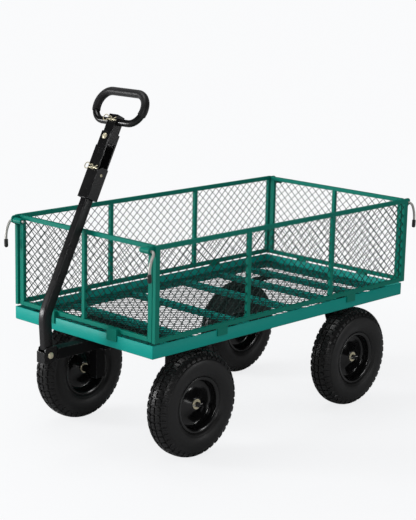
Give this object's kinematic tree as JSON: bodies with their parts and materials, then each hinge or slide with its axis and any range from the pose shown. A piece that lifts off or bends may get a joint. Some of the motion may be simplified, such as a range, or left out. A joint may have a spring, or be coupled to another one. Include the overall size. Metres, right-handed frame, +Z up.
{
  "type": "garden cart",
  "caption": "Steel garden cart with a lipped tray, lift-out mesh sides held by corner latch pins, linked front steering, tilting pull handle with a tow hitch and a folding loop.",
  "frame": {"origin": "middle of the overall plan box at ground level, under the tray", "axes": "+X to the cart's right seen from behind the pull handle looking at the tail, +Y from the handle towards the tail, +Z up"},
  "size_m": [0.6444, 1.3712, 1.0815],
  "materials": {
    "green_paint": "teal green powder coat, satin",
    "black_paint": "black powder coat, satin",
    "mesh": "dark green coated expanded diamond mesh",
    "rim": "gloss black enamel",
    "tyre": "moulded rubber with block tread",
    "zinc": "yellow zinc plating",
    "vinyl": "dipped black vinyl",
    "foam": "soft black foam sleeve"
  },
  "bodies": {
    "chassis": {"tray_frame": "green_paint", "floor_mesh": "mesh", "cross_members": "black_paint", "front_bolster": "black_paint", "kingpins": "zinc", "steering_mount": "black_paint", "steering_pin": "zinc", "rear_struts": "black_paint", "frame_bolts": "zinc", "rear_axles": "black_paint", "rear_axle_hardware": "zinc", "front_panel_frame": "green_paint", "front_panel_mesh": "mesh"},
    "right_side": {"right_panel_frame": "green_paint", "right_panel_mesh": "mesh"},
    "left_side": {"left_panel_frame": "green_paint", "left_panel_mesh": "mesh"},
    "tail_side": {"tail_panel_frame": "green_paint", "tail_panel_mesh": "mesh"},
    "tongue": {"tongue_tube": "black_paint", "steering_plate": "black_paint", "steering_plate_bolts": "zinc"},
    "handle": {"handle_tube": "black_paint", "handle_shoe": "black_paint", "handle_bolt": "zinc", "hitch_channel": "black_paint", "hitch_pins": "zinc", "stem_bolt": "zinc"},
    "loop": {"stem": "black_paint", "loop_handle": "black_paint", "loop_grip": "foam", "loop_pin": "zinc"},
    "steering_knuckle_right": {"knuckle_right": "black_paint", "stub_axle_right": "black_paint", "knuckle_hardware_right": "zinc"},
    "tie_rod_right": {"tie_bar_right": "black_paint"},
    "wheel_front_right": {"tyre_front_right": "tyre", "rim_front_right": "rim", "bearings_front_right": "zinc"},
    "wheel_rear_right": {"tyre_rear_right": "tyre", "rim_rear_right": "rim", "bearings_rear_right": "zinc"},
    "latch_front_right": {"latch_pin_front_right": "zinc", "latch_grip_front_right": "vinyl"},
    "latch_tail_right": {"latch_pin_tail_right": "zinc", "latch_grip_tail_right": "vinyl"},
    "steering_knuckle_left": {"knuckle_left": "black_paint", "stub_axle_left": "black_paint", "knuckle_hardware_left": "zinc"},
    "tie_rod_left": {"tie_bar_left": "black_paint"},
    "wheel_front_left": {"tyre_front_left": "tyre", "rim_front_left": "rim", "bearings_front_left": "zinc"},
    "wheel_rear_left": {"tyre_rear_left": "tyre", "rim_rear_left": "rim", "bearings_rear_left": "zinc"},
    "latch_front_left": {"latch_pin_front_left": "zinc", "latch_grip_front_left": "vinyl"},
    "latch_tail_left": {"latch_pin_tail_left": "zinc", "latch_grip_tail_left": "vinyl"}
  },
  "joints": [
    {"name": "steer", "type": "hinge", "parent": "chassis", "child": "tongue", "pos_m": [0, -0.4256, 0.328], "axis": [0, 0, 1], "range_deg": [-18, 18]},
    {"name": "knuckle_turn_right", "type": "hinge", "parent": "chassis", "child": "steering_knuckle_right", "pos_m": [0.17, -0.3126, 0.309], "axis": [0, 0, 1], "range_deg": [-18, 18]},
    {"name": "tie_turn_right", "type": "hinge", "parent": "tongue", "child": "tie_rod_right", "pos_m": [0.03, -0.3256, 0.303], "axis": [0, 0, 1], "range_deg": [-18, 18]},
    {"name": "wheel_spin_front_right", "type": "hinge", "parent": "steering_knuckle_right", "child": "wheel_front_right", "pos_m": [0.251, -0.3126, 0.165], "axis": [1, 0, 0], "continuous": true},
    {"name": "wheel_spin_rear_right", "type": "hinge", "parent": "chassis", "child": "wheel_rear_right", "pos_m": [0.251, 0.4324, 0.165], "axis": [1, 0, 0], "continuous": true},
    {"name": "knuckle_turn_left", "type": "hinge", "parent": "chassis", "child": "steering_knuckle_left", "pos_m": [-0.17, -0.3126, 0.309], "axis": [0, 0, 1], "range_deg": [-18, 18]},
    {"name": "tie_turn_left", "type": "hinge", "parent": "tongue", "child": "tie_rod_left", "pos_m": [-0.03, -0.3256, 0.303], "axis": [0, 0, 1], "range_deg": [-18, 18]},
    {"name": "wheel_spin_front_left", "type": "hinge", "parent": "steering_knuckle_left", "child": "wheel_front_left", "pos_m": [-0.251, -0.3126, 0.165], "axis": [1, 0, 0], "continuous": true},
    {"name": "wheel_spin_rear_left", "type": "hinge", "parent": "chassis", "child": "wheel_rear_left", "pos_m": [-0.251, 0.4324, 0.165], "axis": [1, 0, 0], "continuous": true},
    {"name": "handle_tilt", "type": "hinge", "parent": "tongue", "child": "handle", "pos_m": [0, -0.6616, 0.328], "axis": [1, 0, 0], "range_deg": [0, 90]},
    {"name": "loop_flip", "type": "hinge", "parent": "handle", "child": "loop", "pos_m": [0, -0.42317, 0.93911], "axis": [0, -0.8949, 0.4462], "range_deg": [0, 90]},
    {"name": "right_side_lift", "type": "slide", "parent": "chassis", "child": "right_side", "axis": [0, 0, 1], "range_m": [0, 0.3]},
    {"name": "left_side_lift", "type": "slide", "parent": "chassis", "child": "left_side", "axis": [0, 0, 1], "range_m": [0, 0.3]},
    {"name": "tail_side_lift", "type": "slide", "parent": "chassis", "child": "tail_side", "axis": [0, 0, 1], "range_m": [0, 0.3]},
    {"name": "latch_pull_front_right", "type": "slide", "parent": "right_side", "child": "latch_front_right", "axis": [1, 0, 0], "range_m": [0, 0.04]},
    {"name": "latch_pull_tail_right", "type": "slide", "parent": "right_side", "child": "latch_tail_right", "axis": [1, 0, 0], "range_m": [0, 0.04]},
    {"name": "latch_pull_front_left", "type": "slide", "parent": "left_side", "child": "latch_front_left", "axis": [-1, 0, 0], "range_m": [0, 0.04]},
    {"name": "latch_pull_tail_left", "type": "slide", "parent": "left_side", "child": "latch_tail_left", "axis": [-1, 0, 0], "range_m": [0, 0.04]}
  ],
  "couplings": [
    {"joint": "knuckle_turn_right", "follows": "steer", "ratio": 1},
    {"joint": "tie_turn_right", "follows": "steer", "ratio": -1},
    {"joint": "knuckle_turn_left", "follows": "steer", "ratio": 1},
    {"joint": "tie_turn_left", "follows": "steer", "ratio": -1}
  ]
}
